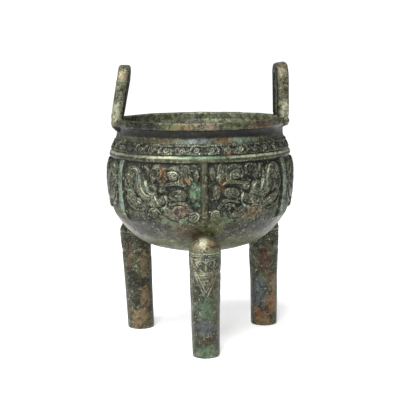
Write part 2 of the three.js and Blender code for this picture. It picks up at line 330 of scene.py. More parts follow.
    # cheek: a spiral, and the broad plate behind it
    plate(*ribbon([(35.6, 126.0), (41.0, 126.4), (47.6, 126.2), (51.6, 121.4)], [4.0, 7.4, 6.0, 3.4]))
    plate(*ribbon([(39.0, 134.4), (38.2, 131.0), (36.0, 128.6)], [2.0, 2.6, 3.0]))
    oval((34.0, 129.2), (3.7, 3.7))
    cut(curl((36.4, 129.2), (34.0, 129.2), 420, 0.8), 0.9, 0.7, 0.8)
    cut([(31.4, 132.4), (30.0, 129.0), (30.8, 125.2), (33.8, 122.2), (38.0, 121.2)], 1.3, 1.0)
    cut([(41.2, 132.2), (39.2, 128.6), (38.2, 126.4)], 1.3, 0.9)
    # chin: a disc in a hook
    oval((43.2, 117.4), (4.0, 3.9))
    plate(*ribbon([(49.6, 115.0), (49.2, 119.6), (46.8, 123.0)], [1.2, 2.2, 1.6]))
    hook = [
        (48.4, 116.0), (47.4, 119.6), (44.8, 121.8), (41.6, 122.2),
        (38.8, 120.4), (37.6, 117.2), (37.8, 114.4),
    ]
    cut(hook, 1.3, 1.0)
    cut([(44.6, 118.6), (42.0, 117.0), (40.8, 114.6)], 0.8, 0.6, 0.6)
    # jaw plate, upper lip and fang
    plate(*ribbon([(33.4, 122.6), (29.8, 119.6), (26.6, 116.6), (22.8, 114.4)], [3.0, 6.4, 6.8, 3.6]))
    plate(*ribbon([(11.2, 121.4), (14.6, 125.2), (20.6, 126.9), (27.2, 125.6)], [3.4, 3.6, 2.4, 2.0]))
    fang = [(16.4, 123.2), (20.0, 123.6), (23.4, 122.6), (25.6, 119.6)]
    plate(*ribbon(fang, [1.6, 2.4, 2.6, 1.6]), proud=1.2)
    plate(*ribbon([(20.4, 123.0), (19.8, 119.4), (20.8, 115.6)], [2.2, 2.0, 1.2]), proud=1.1)
    # spiral beside the flange's foot
    oval((8.6, 115.4), (4.5, 4.5))
    cut(curl((12.2, 117.2), (8.4, 115.4), 600, 0.8), 0.9, 0.8)
    return field


def band_field():
    """Half of the neck's band: three dragons walking towards the middle, among curls."""
    field = Field((-1, HALF_FIELD + 1), (162, 174))
    plate, oval, cut = field.raise_line, field.raise_oval, field.cut
    pace = HALF_FIELD / 3
    for start in (0.0, pace, 2 * pace):
        def at(*points):
            return [(start + along, up) for along, up in points]

        back = at((0.6, 170.6), (6.0, 171.2), (11.4, 170.6), (15.0, 171.4), (23.6, 171.2))
        plate(*ribbon(back, [1.6, 2.0, 1.6, 2.2, 1.8]))
        belly = at((1.0, 165.0), (7.0, 164.6), (12.0, 165.4), (17.0, 164.8), (24.0, 165.0))
        plate(*ribbon(belly, [1.6, 1.8, 2.2, 1.8, 1.6]))
        oval(at((6.4, 168.0))[0], (3.2, 2.6))
        cut(ring(at((6.4, 168.0))[0], 1.6), 0.9, 0.7)
        plate(*ribbon(at((10.6, 169.6), (13.2, 167.6), (15.8, 166.4)), [2.2, 2.4, 1.6]))
        oval(at((18.2, 167.6))[0], (2.6, 2.4))
        cut(ring(at((18.2, 167.6))[0], 1.1), 0.9, 0.7)
        plate(*ribbon(at((21.6, 169.8), (23.0, 167.6), (22.6, 165.4)), [1.6, 2.0, 1.6]))
        cut(at((9.6, 171.4), (11.8, 169.0), (12.0, 166.4)), 0.8, 0.7)
        cut(at((20.8, 171.0), (20.9, 168.2), (19.6, 165.2)), 0.7, 0.7)
        cut(at((2.0, 169.4), (1.9, 166.6)), 0.9, 0.7)
        cut(at((3.4, 164.4), (4.4, 166.0)), 0.8, 0.7)
        cut(at((14.2, 171.9), (15.4, 169.8)), 0.8, 0.7)
    return field


BLADES = 4
BLADE_TOP = 68.6
BLADE_FOOT = 49.5
LEG_ROUND = 12.75  # the leg's mean radius under its ornament


def beside(centre, side, *points):
    """Points on one side of a line of symmetry, from their distances off it."""
    return [(centre + side * across, up) for across, up in points]


def leg_field():
    """Lines cut in a leg: distances round it from its outermost line, and heights.

    All depths are below the shaft.
    """
    half = math.pi * LEG_ROUND
    field = Field((-half - 1, half + 1), (46, 90))
    for up in (85.8, 83.9, 70.6, 69.4):
        field.cut([(-half - 2, up), (half + 2, up)], 0.75, 0.4)
    pitch = TAU * LEG_ROUND / BLADES
    for k in range(-BLADES // 2, BLADES // 2 + 1):
        centre = k * pitch
        for scale in (1.0, 0.68):
            wide = pitch / 2 * 0.96 * scale
            top = BLADE_TOP - (1 - scale) * 5
            foot = BLADE_FOOT + (1 - scale) * 16
            for side in (-1, 1):
                edge = beside(centre, side, (wide, top), (wide * 0.55, (top + foot) / 2 + 0.6), (0, foot))
                field.cut(catmull_rom(edge, 6), 0.7, 0.4)
            field.cut([(centre - wide, top), (centre + wide, top)], 0.6, 0.35)
        for side in (-1, 1):
            # a scroll in the blade, and an eye with its scrolls in the band above
            field.cut(curl(*beside(centre, side, (0.4, 61.8), (2.2, 62.8)), side * 420, 0.5), 0.6, 0.35)
            field.cut(curl(*beside(centre, side, (0.9, 74.2), (4.4, 77.2)), -side * 540, 0.6), 0.75, 0.4)
            field.cut(curl(*beside(centre, side, (9.3, 80.6), (7.4, 79.2)), side * 420, 0.5), 0.65, 0.38)
            for lid in (((1.0, 81.8), (4.2, 82.3), (9.4, 81.4)), ((2.6, 72.6), (6.8, 73.2), (9.6, 75.4))):
                field.cut(catmull_rom(beside(centre, side, *lid), 5), 0.65, 0.38)
        field.cut([(centre, 72.2), (centre, 82.4)], 0.7, 0.38)
    return field


# ---------------------------------------------------------------- meshes as arrays
def ring_mesh(rings):
    """(points, triangles) of a closed skin from a pole, through rings, to a pole.

    A ring has as many points as its neighbour, half as many or twice as many.
    """
    faces = []
    starts = np.cumsum([0] + [len(ring) for ring in rings])
    for k in range(len(rings) - 1):
        n, m = len(rings[k]), len(rings[k + 1])
        a = starts[k] + np.arange(n)
        b = starts[k + 1] + np.arange(m)
        if n == 1:
            faces.append(np.stack([np.full(m, a[0]), np.roll(b, -1), b], 1))
        elif m == 1:
            faces.append(np.stack([a, np.roll(a, -1), np.full(n, b[0])], 1))
        elif n == m:
            faces.append(np.stack([a, np.roll(a, -1), np.roll(b, -1)], 1))
            faces.append(np.stack([a, np.roll(b, -1), b], 1))
        elif m == 2 * n:
            even, odd, after = b[0::2], b[1::2], np.roll(b[0::2], -1)
            faces.append(np.stack([a, odd, even], 1))
            faces.append(np.stack([a, np.roll(a, -1), odd], 1))
            faces.append(np.stack([np.roll(a, -1), after, odd], 1))
        elif n == 2 * m:
            even, odd, after = a[0::2], a[1::2], np.roll(a[0::2], -1)
            faces.append(np.stack([even, odd, b], 1))
            faces.append(np.stack([odd, np.roll(b, -1), b], 1))
            faces.append(np.stack([odd, after, np.roll(b, -1)], 1))
        else:
            raise ValueError(f"ring {k} has {n} points and the next {m}")
    return np.vstack(rings), np.vstack(faces)


def to_object(name, points, faces):
    mesh = bpy.data.meshes.new(name)
    mesh.from_pydata((points * MM).tolist(), [], faces.tolist())
    mesh.update()
    thing = bpy.data.objects.new(name, mesh)
    bpy.context.scene.collection.objects.link(thing)
    return thing


def to_arrays(thing):
    """(points in mm, triangles) of an object's mesh."""
    mesh = thing.data
    points = np.empty(len(mesh.vertices) * 3)
    mesh.vertices.foreach_get("co", points)
    mesh.calc_loop_triangles()
    faces = np.empty(len(mesh.loop_triangles) * 3, dtype=np.int32)
    mesh.loop_triangles.foreach_get("vertices", faces)
    return points.reshape(-1, 3) / MM, faces.reshape(-1, 3)


def applied(thing, kind, **settings):
    """The object with one modifier applied to its mesh."""
    modifier = thing.modifiers.new(kind, kind)
    for key, value in settings.items():
        setattr(modifier, key, value)
    evaluated = thing.evaluated_get(bpy.context.evaluated_depsgraph_get())
    mesh = bpy.data.meshes.new_from_object(evaluated)
    thing.modifiers.clear()
    old = thing.data
    thing.data = mesh
    bpy.data.meshes.remove(old)
    return thing


def combine(thing, other, operation):
    applied(thing, "BOOLEAN", object=other, operation=operation, solver="MANIFOLD")
    bpy.data.objects.remove(other)
    return thing


# ---------------------------------------------------------------- the bowl
def body_table():
    """Radii at close heights of the bowl's side, without mouldings."""
    side = catmull_rom([(BASE_RADII[-1], BASE_Z + BASE_RISE * BASE_RADII[-1] ** 4), *SIDE], 12)
    base = np.linspace(0, BASE_RADII[-1], 60)
    return np.concatenate([BASE_Z + BASE_RISE * base**4, side[1:, 1]]), np.concatenate([base, side[1:, 0]])


BODY_HEIGHTS, BODY_RADII = body_table()


def body_radius(up):
    return np.interp(up, BODY_HEIGHTS, BODY_RADII)


def flange_lift(along, up):
    """Height of the flanges, given the distance along the frieze from the nearest one."""
    bar = np.clip(1 - (along / (FLANGE_WIDTH / 2)) ** 3, 0, 1) ** 0.5
    foot = smoothstep(FLANGE_BOTTOM - 0.5, FLANGE_BOTTOM + 1.2, up)
    head = 1 - smoothstep(FLANGE_TOP - 1.0, FLANGE_TOP + 0.5, up)
    return FLANGE_PROUD * bar * (foot * head)


def cordon_lift(up):
    share = np.clip(1 - ((up - CORDON_Z) / CORDON_HALF) ** 2, 0, 1)
    return CORDON_PROUD * share**0.5


def frieze_place(points):
    """(along, up, degrees from the nearest flange) of points on the masks' drawing."""
    azimuth = np.degrees(np.arctan2(points[:, 1], points[:, 0]))
    # each half field lies between a nose and the flange beside it, and takes the same drawing,
    # a little stretched
    turns = (azimuth[:, None] - np.array(FLANGES) + 180) % 360 - 180
    from_nose = np.abs(turns[:, 1::2]).min(axis=1)
    from_edge = np.abs(turns[:, 0::2]).min(axis=1)
    along = HALF_FIELD * from_nose / (from_nose + from_edge)
    # the masks sit a little askew: from the front, each one's right half is higher
    nearest = np.take_along_axis(turns[:, 1::2], np.abs(turns[:, 1::2]).argmin(axis=1)[:, None], axis=1)[:, 0]
    askew = MASK_ASKEW * np.clip(nearest / 6, -1, 1)
    # no two masks are quite alike: each is drawn by a slightly unsteady hand
    hand = 0.35 * waves(points, 24, 11) * smoothstep(4, 12, along)
    sway = 0.3 * waves(points, 31, 12) - askew
    return along + hand, points[:, 2] + sway, np.abs(turns).min(axis=1)


def relief(points, mask, band, grid="height"):
    """The masks' and the band's values at points of the bowl's side, from the grids of heights or of earth."""
    along, up, _ = frieze_place(points)
    straight = points[:, 2] + (up - points[:, 2]) * 0.2
    on_mask = mask.sample(getattr(mask, grid), along, up) * (1 - smoothstep(157.0, 158.0, points[:, 2]))
    return on_mask, band.sample(getattr(band, grid), along, straight)


def relief_lift(points, mask, band):
    """How far the bowl's ornament lifts points of its side off the plain body."""
    _, _, from_flange = frieze_place(points)
    on_mask, on_band = relief(points, mask, band)
    worn = 1 - 0.12 * np.clip(waves(points, 40, 13), 0, 1)
    ornament = (RELIEF * on_mask + BAND_RELIEF * on_band) * worn
    along = np.radians(from_flange) * FIELD_RADIUS
    return np.maximum.reduce([ornament, flange_lift(along, points[:, 2]), cordon_lift(points[:, 2])])


def circle(count, radius, up):
    angle = TAU * np.arange(count) / count
    return np.stack([radius * np.cos(angle), radius * np.sin(angle), np.full(count, up)], 1)


PLAIN_SIDES = 480
RELIEF_SIDES = 960
INSIDE_SIDES = 240


def bowl():
    """The bowl's skin: its outside from the base's middle up to the lip, then its inside down again."""
    rings = [circle(1, 0, BASE_Z)]
    base = ((3, 13, 3, 60), (15, 28, 2.5, 120), (30, 50, 2, 240), (51, 67, 1.2, PLAIN_SIDES))
    for first, last, step, count in base:
        rings += [circle(count, r, BASE_Z + BASE_RISE * r**4) for r in np.arange(first, last, step)]
    for up in np.arange(101.5, 108.6, 1.0):
        rings.append(circle(PLAIN_SIDES, body_radius(up), up))
    for up in np.arange(109.3, 174.4, 0.5):
        ring = circle(RELIEF_SIDES, body_radius(up), up)
        lift = relief_lift(ring, MASK, BAND)
        ring[:, :2] *= (1 + lift / body_radius(up))[:, None]
        rings.append(ring)
    for up in np.arange(175, 182.6, 1.0):
        rings.append(circle(PLAIN_SIDES, body_radius(up), up))
    # the lip: a flat ring with rounded edges
    foot = RIM_Z - LIP_HEIGHT
    outer, inner = LIP_OUTER - LIP_EDGE, LIP_INNER + LIP_EDGE
    rings.append(circle(PLAIN_SIDES, outer, foot))

    def edge(radius, up, turn):
        angle = math.radians(turn)
        return circle(PLAIN_SIDES, radius + LIP_EDGE * math.cos(angle), up + LIP_EDGE * math.sin(angle))

    rings += [edge(outer, foot + LIP_EDGE, turn) for turn in (-65, -40, -15, 0)]
    rings += [edge(outer, RIM_Z - LIP_EDGE, turn) for turn in (0, 25, 50, 75)]
    rings += [circle(PLAIN_SIDES, radius, RIM_Z) for radius in np.linspace(outer, inner, 5)]
    rings += [edge(inner, RIM_Z - LIP_EDGE, turn) for turn in (120, 150, 180)]
    rings += inside_rings()
    return to_object("bowl", *ring_mesh(rings))


def inside_rings():
    """The cavity from under the lip to the middle of its floor: the body's line moved in by the wall."""
    up = np.concatenate([np.arange(184, 106, -2.0), np.arange(105, 101.5, -1.5)])
    slope = (body_radius(up + 0.5) - body_radius(up - 0.5)) / 1.0
    normal = 1 / np.hypot(1, slope)
    rings = []
    for r, z, n, s in zip(body_radius(up), up, normal, slope):
        rings.append(circle(INSIDE_SIDES, r - WALL * n, z + WALL * s * n))
    for first, last, step, count in ((65, 49, -2.5, INSIDE_SIDES), (47, 27, -3, 120), (24, 4, -4, 60)):
        for r in np.arange(first, last, step):
            slant = 4 * BASE_RISE * r**3
            steep = math.hypot(1, slant)
            rings.append(circle(count, r - WALL * slant / steep, BASE_Z + BASE_RISE * r**4 + WALL / steep))
    return [*rings, circle(1, 0, BASE_Z + WALL)]


def cavity():
    """The bowl's inside as a solid, up to the rim, a hair inside the bowl's own skin."""
    shrink = 0.02
    rings = []
    for ring in inside_rings():
        radius = np.maximum(np.hypot(ring[:, :1], ring[:, 1:2]), 1)
        rings.append(ring * (1 - shrink / radius))
    top = circle(INSIDE_SIDES, LIP_INNER - shrink, RIM_Z - LIP_EDGE)
    return to_object("cavity", *ring_mesh([circle(1, 0, RIM_Z), top, *rings][::-1]))


# ---------------------------------------------------------------- legs and handles
def leg(azimuth, lean, place, stout, ornament):
    heights, radii = zip(*LEG_LINE)
    rings = [circle(1, 0, 0), circle(48, 5, 0), circle(96, 9.6, 0)]
    rings += [circle(96, radii[0] - dr, up) for dr, up in ((0.8, 0.05), (0.3, 0.3), (0.05, 0.8))]
    rings += [circle(96, np.interp(up, heights, radii), up) for up in np.arange(2.5, 46, 2)]
    fine = [circle(192, np.interp(up, heights, radii), up) for up in np.arange(47, 87.6, 0.5)]
    dome = []
    for turn in np.arange(6, 88, 5):
        angle = math.radians(turn)
        count = 192 if turn < 30 else 96
        height = LEG_TOP + LEG_TOP_RADIUS * math.sin(angle)
        dome.append(circle(count, LEG_TOP_RADIUS * math.cos(angle), height))
    rings += [ring for ring in fine if ring[0, 2] < LEG_TOP + 0.5] + dome
    rings.append(circle(1, 0, LEG_TOP + LEG_TOP_RADIUS))
    points, faces = ring_mesh(rings)
    # the ornament's middle faces outwards, which is +X before the leg is turned to its azimuth
    round_it = np.arctan2(points[:, 1], points[:, 0]) * LEG_ROUND
    depth = ornament.sample(ornament.height, round_it, points[:, 2])
    radius = np.maximum(np.hypot(points[:, 0], points[:, 1]), 1e-6)
    points[:, :2] *= stout * (1 + depth / radius)[:, None]
    points[:, 0] += place - math.tan(math.radians(lean)) * (LEG_TOP - points[:, 2])
    return to_object("leg", turned(points, azimuth), faces)


def turned(points, azimuth):
    angle = math.radians(azimuth)
    cosine, sine = math.cos(angle), math.sin(angle)
    spin = np.array([[cosine, -sine, 0], [sine, cosine, 0], [0, 0, 1]])
    return points @ spin.T


def handle(azimuth, lean, root):
    """An arch of rounded square bar on two posts. Its path runs along the rim and up."""
    half = HANDLE_POST / 2
    reach = HANDLE_WIDTH / 2 - half
    bend = HANDLE_CORNER - half
    crown = HANDLE_TOP - half
    heights = [*np.linspace(root, HANDLE_ROOT + 1, 5)[:-1], *np.arange(HANDLE_ROOT + 1, crown - bend, 1.2)]
    path = [(reach, up, 0.0) for up in heights]
    for turn in np.arange(0, 91, 7.5):
        angle = math.radians(turn)
        path.append((reach - bend + bend * math.cos(angle), crown - bend + bend * math.sin(angle), turn))
    path += [(y, crown, 90.0) for y in np.linspace(reach - bend, 0, 5)[1:]]
    path += [(-y, z, 180 - turn) for y, z, turn in path[-2::-1]]
    section = []
    for cx, cz, start, corner in ((1, 1, 0, 1.6), (-1, 1, 90, 3.2), (-1, -1, 180, 2.4), (1, -1, 270, 1.6)):
        for turn in (0, 30, 60, 90):
            angle = math.radians(start + turn)
            out = cx * (HANDLE_THICK / 2 - corner) + corner * math.cos(angle)
            section.append((out, cz * (half - corner) + corner * math.sin(angle)))
    section = np.array(section)
    inner = HANDLE_OUTER - HANDLE_THICK
    neck = body_radius(root)
    rings = []
    for y, z, turn in path:
        angle = math.radians(turn)
        out, across = inner + HANDLE_THICK / 2 + section[:, 0], section[:, 1]
        ring = np.stack([out, y + across * math.cos(angle), z + across * math.sin(angle)], 1)
        # the root's underside slants from its outer face in to the neck, and its inner face into the wall
        low = np.interp(ring[:, 0], (neck, HANDLE_OUTER), (root, HANDLE_ROOT))
        share = np.clip((ring[:, 2] - root) / (HANDLE_ROOT + 1 - root), 0, 1)
        ring[:, 2] += (low - root) * (1 - share)
        ring[:, 0] = np.maximum(ring[:, 0], inner + np.clip(RIM_Z - 0.4 - ring[:, 2], 0, None) / 3)
        rings.append(ring)
    caps = [rings[0].mean(0, keepdims=True), rings[-1].mean(0, keepdims=True)]
    points, faces = ring_mesh([caps[0], *rings, caps[1]])
    # bent inwards from the rim up
    above = np.clip(points[:, 2] - RIM_Z, 0, None)
    points[:, 0] -= above * math.sin(math.radians(lean))
    points[:, 2] -= above * (1 - math.cos(math.radians(lean)))
    return to_object("handle", turned(points, azimuth), faces)


# ---------------------------------------------------------------- the casting as one mesh
TRIANGLES = 192_000


def edges_of(faces):
    pairs = np.sort(np.vstack([faces[:, [0, 1]], faces[:, [1, 2]], faces[:, [2, 0]]]), axis=1)
    return np.unique(pairs, axis=0)


def neighbour_mean(values, edges, count):
    """The mean of each vertex's neighbours."""
    total = np.zeros((len(values), values.shape[1]))
    for k in range(values.shape[1]):
        total[:, k] += np.bincount(edges[:, 0], values[edges[:, 1], k], len(values))
        total[:, k] += np.bincount(edges[:, 1], values[edges[:, 0], k], len(values))
    return total / count[:, None]


def degree(edges, size):
    return np.maximum(np.bincount(edges.ravel(), minlength=size), 1)


def leg_frame(points, azimuth, lean, place, stout):
    """Points seen from a leg: its axis upright at the origin, outwards along +X, stout as the front one."""
    local = turned(points, -azimuth)
    local[:, 0] -= place - math.tan(math.radians(lean)) * (LEG_TOP - local[:, 2])
    local[:, :2] /= stout
    return local


def leg_gap(points, each):
    """Rough distance from a leg's skin."""
    local = leg_frame(points, *each)
    above = np.clip(local[:, 2] - LEG_TOP, 0, None)
    heights, radii = zip(*LEG_LINE)
    off_axis = np.sqrt(local[:, 0] ** 2 + local[:, 1] ** 2 + above**2)
    return np.abs(off_axis - np.interp(local[:, 2], heights, radii))


def soften_roots(points, faces):
    """Rounds the creases where legs and handles grow out of the bowl, as on a smoothed wax model."""
    radius = np.hypot(points[:, 0], points[:, 1])
    body_gap = np.abs(radius - body_radius(points[:, 2]))
    weight = np.zeros(len(points))
    for each in LEGS:
        gap = leg_gap(points, each)
        near = (points[:, 2] > 80) & (points[:, 2] < 103)
        weight = np.maximum(weight, near * (1 - smoothstep(0.8, 3.0, gap + 0.7 * body_gap)))
    for side in (1, -1):
        x, y = side * points[:, 0], np.abs(points[:, 1])
        near_post = (x > 60) & (y > 8) & (y < 21)
        rim_gap = np.minimum(np.abs(points[:, 2] - RIM_Z), np.abs(points[:, 2] - (RIM_Z - LIP_HEIGHT)))
        weight = np.maximum(weight, near_post * (1 - smoothstep(0.8, 2.4, rim_gap)) * 0.8)
    edges = edges_of(faces)
    count = degree(edges, len(points))
    for _ in range(12):
        points = points + weight[:, None] * 0.5 * (neighbour_mean(points, edges, count) - points)
    return points


def casting():
    vessel = bowl()
    inside = cavity()
    for each in LEGS:
        post = leg(*each, LEG_LINES)
        applied(post, "BOOLEAN", object=inside, operation="DIFFERENCE", solver="MANIFOLD")
        combine(vessel, post, "UNION")
    bpy.data.objects.remove(inside)
    for each in HANDLES:
        combine(vessel, handle(*each), "UNION")
    points, faces = to_arrays(vessel)
    bpy.data.objects.remove(vessel)
    vessel = to_object("vessel_casting", soften_roots(points, faces), faces)
    applied(vessel, "DECIMATE", ratio=min(TRIANGLES / len(faces), 1))
    return vessel


# ---------------------------------------------------------------- age: an uneven skin, dirt and wear, and the layers that painted light and shade follow
def normals_of(points, faces):
    across = np.cross(points[faces[:, 1]] - points[faces[:, 0]], points[faces[:, 2]] - points[faces[:, 0]])
    total = np.zeros((len(points), 3))
    for corner in range(3):
        for k in range(3):
            total[:, k] += np.bincount(faces[:, corner], across[:, k], len(points))
    return total / np.maximum(np.linalg.norm(total, axis=1, keepdims=True), 1e-12)


def roughened(points, faces):
    """The casting's skin, no longer even: broad waves, corroded hollows and a nibbled lip."""
    up = points[:, 2]
    lip = smoothstep(RIM_Z - LIP_HEIGHT - 0.5, RIM_Z - LIP_HEIGHT + 0.5, up) * (up < RIM_Z + 0.5)
    bar = smoothstep(RIM_Z, RIM_Z + 3, up)
    lift = 0.10 * waves(points, 22, 1) + 0.05 * waves(points, 7, 2) + 0.22 * bar * waves(points, 26, 3)
    lift -= 0.16 * np.clip(waves(points, 11, 4) - 0.6, 0, 1)
    lift -= 0.3 * lip * np.clip(waves(points, 6, 5) - 0.2, 0, 2)
    lift *= smoothstep(0.2, 2.0, up)
    return points + lift[:, None] * normals_of(points, faces)


def on_legs(points):
    """1 on the legs' skins, and the earth in their cut lines."""
    share, earth = np.zeros(len(points)), np.zeros(len(points))
    for each in LEGS:
        local = leg_frame(points, *each)
        near = (leg_gap(points, each) < 1.4) & (points[:, 2] < LEG_TOP + LEG_TOP_RADIUS + 1)
        share[near] = 1
        round_it = np.arctan2(local[:, 1], local[:, 0]) * LEG_ROUND
        kept = 1 if each is LEGS[0] else 0.4
        earth[near] = kept * LEG_LINES.sample(LEG_LINES.earth, round_it, points[:, 2])[near]
    return share, earth


def write_attributes(thing, points, faces):
    """What the patina and the painted light and shade follow, at each vertex."""
    normals = normals_of(points, faces)
    edges = edges_of(faces)
    count = degree(edges, len(points))
    smooth = points
    for _ in range(6):
        smooth = smooth + 0.6 * (neighbour_mean(smooth, edges, count) - smooth)
    up = points[:, 2]
    radius = np.hypot(points[:, 0], points[:, 1])
    leg_skin, leg_earth = on_legs(points)
    off_legs = leg_skin < 0.5
    outward = (points[:, :2] * normals[:, :2]).sum(1) / np.maximum(radius, 1)
    side = (radius > body_radius(up) - 1.2) & (up < RIM_Z - LIP_HEIGHT + 0.4)
    below = (up < 100) & (normals[:, 2] < -0.2) & (radius < 72)
    skin = ((side | below) & off_legs).astype(float)
    within = (radius < body_radius(up) - 1.6) & (up > BASE_Z + 1.5) & (up < RIM_Z - 0.5)
    on_mask, on_band = relief(points, MASK, BAND)
    mask_earth, band_earth = relief(points, MASK, BAND, "earth")
    along, _, from_flange = frieze_place(points)
    slope = body_radius(up + 0.5) - body_radius(up - 0.5)
    flange = skin * (np.radians(from_flange) * FIELD_RADIUS < FLANGE_WIDTH / 2 + 0.2)
    flange *= smoothstep(FLANGE_BOTTOM - 1, FLANGE_BOTTOM + 1, up) * (up < FLANGE_TOP)
    layers = {
        "skin": skin,
        "inside": within & (outward < 0.4),
        # the handles' inner faces, where shade is painted
        "handle_inner_shade": (up > RIM_Z) & (outward < -0.5),
        "relief": skin * np.clip(np.maximum(on_mask, on_band), 0, 1.2),
        "earth": np.clip(skin * np.maximum(mask_earth, band_earth) + leg_earth, 0, 1) * (1 - flange),
        "flange": flange,
        "middle": skin * (1 - smoothstep(6, 44, along)),
        "tilt": skin * (normals[:, 2] + slope / np.hypot(1, slope)),
        "proud": ((points - smooth) * normals).sum(1),
    }
    for name, values in layers.items():
        thing.data.attributes.new(name, "FLOAT", "POINT").data.foreach_set("value", values.astype(np.float32))


# ---------------------------------------------------------------- the patina, with painted light and shade
LIGHT_GAIN = 2.05  # how much brighter than its own colour a matt surface comes out under the studio's lights


def seen(red, green, blue):
    """The colour a surface needs to look like an sRGB colour out of 255 under the studio's lights."""
    linear = [((v / 255 + 0.055) / 1.055) ** 2.4 for v in (red, green, blue)]
    return (*(v / LIGHT_GAIN for v in linear), 1)


BLACK = seen(18, 18, 14)
BRONZE = seen(48, 48, 37)
OLIVE = seen(82, 84, 58)
MOSS = seen(102, 106, 64)
STONE = seen(112, 120, 94)
MALACHITE = seen(112, 148, 118)
TURQUOISE = seen(152, 178, 164)
CREAM = seen(236, 236, 200)
CRUST = seen(190, 194, 158)
TAN = seen(158, 130, 96)
ORANGE = seen(156, 108, 70)
RUST = seen(106, 74, 54)
PINK = seen(158, 130, 114)
BROWN = seen(84, 66, 42)
CHARCOAL = seen(36, 32, 32)
SLATE = seen(104, 112, 116)

LIP_MIDDLE = RIM_Z - LIP_HEIGHT / 2
NECK_Z = 175

# Patches of corrosion, and two of painted light and shade. On the bowl: azimuth, height, half width, half
# height, colour, strength.
BOWL_PATCHES = (
    # the black patch at -135 on the lip is painted shade, where the lip turns away from the light
    (-135, LIP_MIDDLE, 30, 6, BLACK, 0.9), (-110, LIP_MIDDLE, 10, 3, MOSS, 0.6),
    (-100, LIP_MIDDLE, 10, 3, TAN, 0.5), (-85, LIP_MIDDLE, 5, 4, PINK, 0.7),
    (-75, LIP_MIDDLE, 10, 3, MOSS, 0.5), (-55, LIP_MIDDLE, 10, 4, MOSS, 0.6),
    (-50, LIP_MIDDLE, 10, 4, RUST, 0.8), (-40, LIP_MIDDLE, 5, 4, PINK, 0.6),
    # the slate patch at -95 on the neck is a painted highlight
    (-120, NECK_Z, 15, 3, BROWN, 0.7), (-95, NECK_Z, 12, 2, SLATE, 0.9), (-75, NECK_Z, 8, 3, ORANGE, 0.5),
    (-65, NECK_Z, 10, 3, TURQUOISE, 0.5), (-140, 165, 20, 8, CHARCOAL, 0.7),
    (-115, 150, 3, 6, ORANGE, 0.5), (-100, 145, 3, 3, ORANGE, 0.5), (-80, 140, 3, 6, ORANGE, 0.5),
    (-75, 165, 3, 3, ORANGE, 0.4), (-105, 120, 7, 5, PINK, 0.5), (-60, 115, 10, 6, TAN, 0.55),
    (-95, 135, 5, 8, MALACHITE, 0.8),
    (-150, 105, 12, 10, RUST, 0.8), (-135, 105, 22, 10, CHARCOAL, 0.9), (-100, 100, 15, 10, BROWN, 0.8),
    (-85, 105, 12, 12, MOSS, 0.8), (-70, 105, 10, 7, BLACK, 0.8), (-50, 105, 20, 10, CHARCOAL, 0.85),
    (-115, 90, 30, 6, MOSS, 0.75), (-55, 90, 30, 6, MOSS, 0.75),
)
# On a leg, by its number: the azimuth that it faces, height, half width, half height, colour, strength.
LEG_PATCHES = (
    (0, -90, 95, 12, 5, CRUST, 0.7), (0, -120, 95, 5, 6, PINK, 0.6), (0, -60, 95, 6, 6, ORANGE, 0.6),
    (0, -60, 65, 6, 12, BROWN, 0.5), (0, -90, 40, 10, 8, MALACHITE, 0.4), (0, -90, 25, 10, 8, SLATE, 0.55),
    (0, -90, 5, 12, 6, MALACHITE, 0.4),
    (2, -60, 60, 5, 15, TAN, 0.7), (2, -120, 45, 6, 15, BLACK, 0.7), (2, -60, 30, 5, 10, TAN, 0.75),
    (2, -90, 10, 10, 10, TAN, 0.75), (2, -120, 65, 5, 10, RUST, 0.6),
    (1, -90, 60, 6, 12, RUST, 0.8), (1, -60, 40, 5, 10, TAN, 0.6), (1, -120, 30, 8, 15, SLATE, 0.75),
    (1, -60, 20, 6, 10, ORANGE, 0.7), (1, -120, 10, 6, 8, ORANGE, 0.8), (1, -90, 5, 6, 6, TAN, 0.8),
)
# On a handle, 1 the right and -1 the left: distance out from the axis, height, half sizes, colour, strength.
HANDLE_PATCHES = (
    (-1, 65, 225, 6, 5, TAN, 0.5), (-1, 70, 195, 6, 10, CREAM, 0.55), (1, 70, 195, 6, 8, CREAM, 0.6),
    (1, 70, 215, 5, 10, BROWN, 0.7), (1, 70, 230, 6, 5, PINK, 0.4),
)


def patches():
    """(place, half sizes, colour, strength) of every patch, in millimetres."""
    for azimuth, up, wide, tall, tone, strength in BOWL_PATCHES:
        place = turned(np.array([[body_radius(up) + RELIEF / 2, 0, up]]), azimuth)[0]
        yield place, (wide, wide, tall), tone, strength
    for number, facing, up, wide, tall, tone, strength in LEG_PATCHES:
        azimuth, lean, out, stout = LEGS[number]
        centre = turned(np.array([[out - math.tan(math.radians(lean)) * (LEG_TOP - up), 0, up]]), azimuth)[0]
        place = centre + turned(np.array([[LEG_ROUND * stout, 0, 0]]), facing)[0]
        yield place, (wide, wide, tall), tone, strength
    for side, out, up, wide, tall, tone, strength in HANDLE_PATCHES:
        yield (side * out, HANDLE_POST / 2 - HANDLE_WIDTH / 2, up), (wide, HANDLE_POST, tall), tone, strength
    yield (0, LIP_INNER, RIM_Z - LIP_HEIGHT), (2.2, 5, 9), SLATE, 0.9


